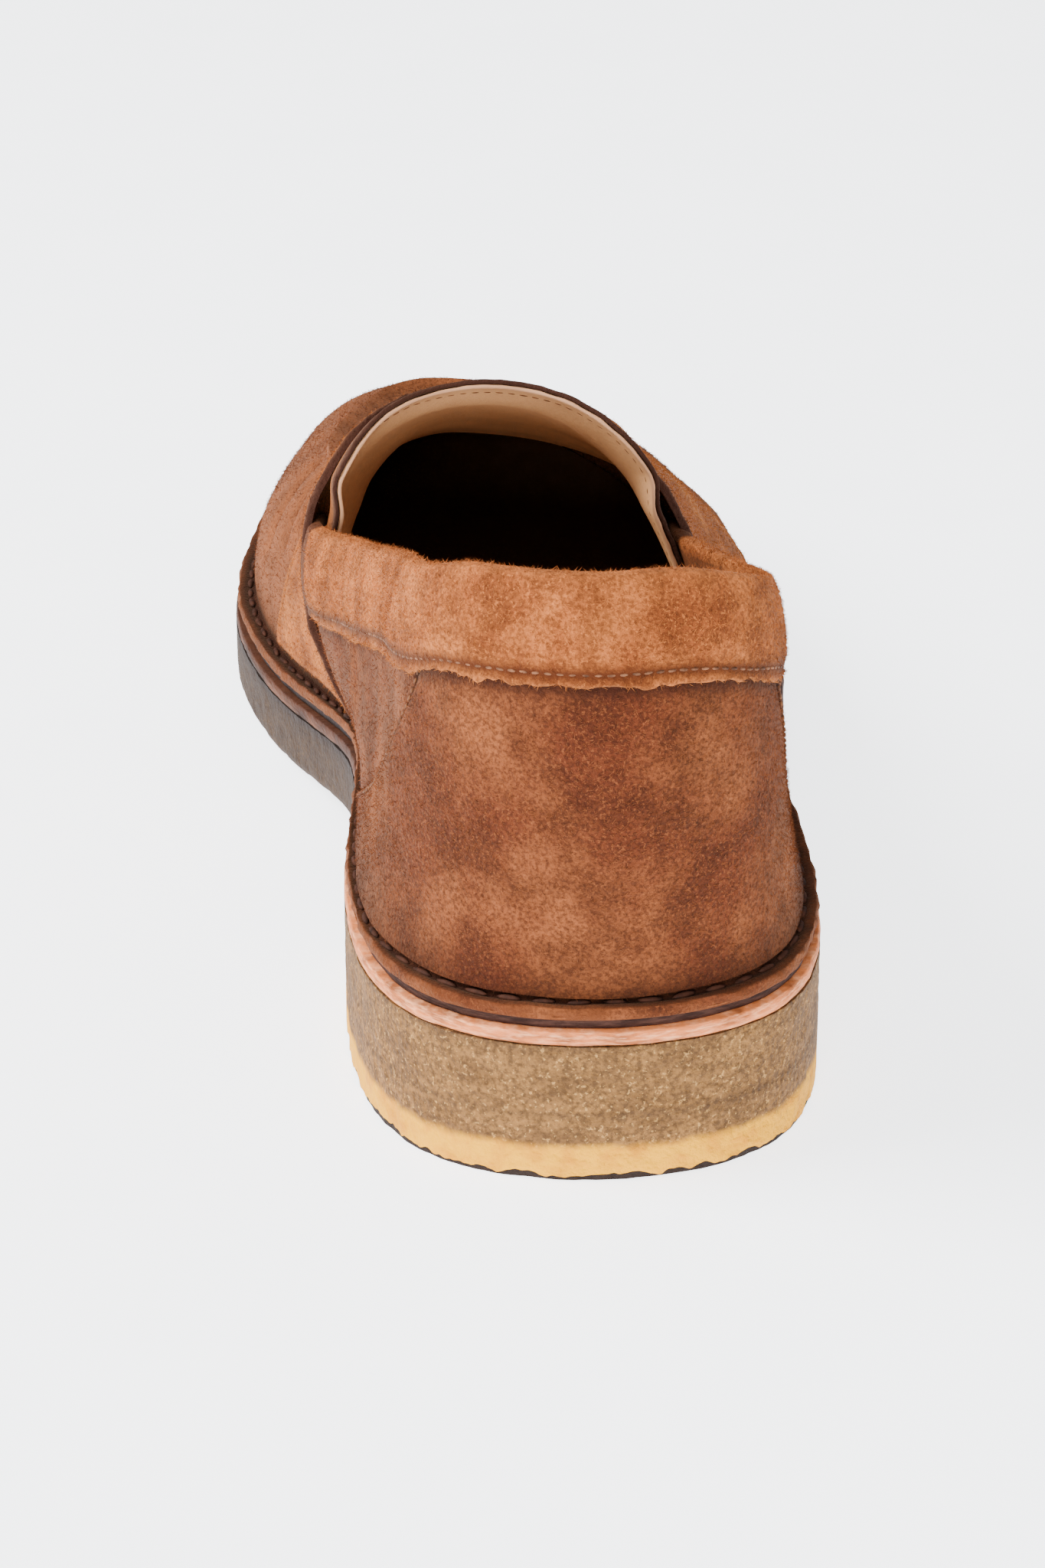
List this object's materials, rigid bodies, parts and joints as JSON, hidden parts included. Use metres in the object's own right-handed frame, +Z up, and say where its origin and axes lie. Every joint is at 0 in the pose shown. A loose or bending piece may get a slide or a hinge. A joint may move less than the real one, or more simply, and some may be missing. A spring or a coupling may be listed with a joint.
{
  "type": "saddle loafer",
  "caption": "Right suede saddle loafer with a crepe heel and outsole, stitched-down flange, rolled collar band and a lined tongue under a wide saddle strap.",
  "frame": {"origin": "on the floor, under the middle of the shoe's bounding box", "axes": "+Y towards the toe, +X towards the outer side of the right foot, +Z up"},
  "size_m": [0.101, 0.292, 0.0917],
  "materials": {
    "crepe": "rough natural crepe rubber, grimy on its sides and pale yellow where freshly cut",
    "midsole_leather": "raw pinkish tan cut edge",
    "rand_leather": "dark brown dyed edge, matt",
    "insole_leather": "smooth leather darkened by wear",
    "suede": "mid brown napped suede, matt",
    "collar_suede": "lighter and rougher brown suede, matt",
    "lining_leather": "smooth tan lining leather, slightly waxy"
  },
  "bodies": {
    "root": {"heel_lift": "crepe", "outsole": "crepe", "midsole": "midsole_leather", "rand": "rand_leather", "insole": "insole_leather", "upper": "suede", "counter": "suede", "collar": "collar_suede", "saddle": "suede", "tongue": "suede", "tongue_lining": "lining_leather"}
  },
  "joints": []
}
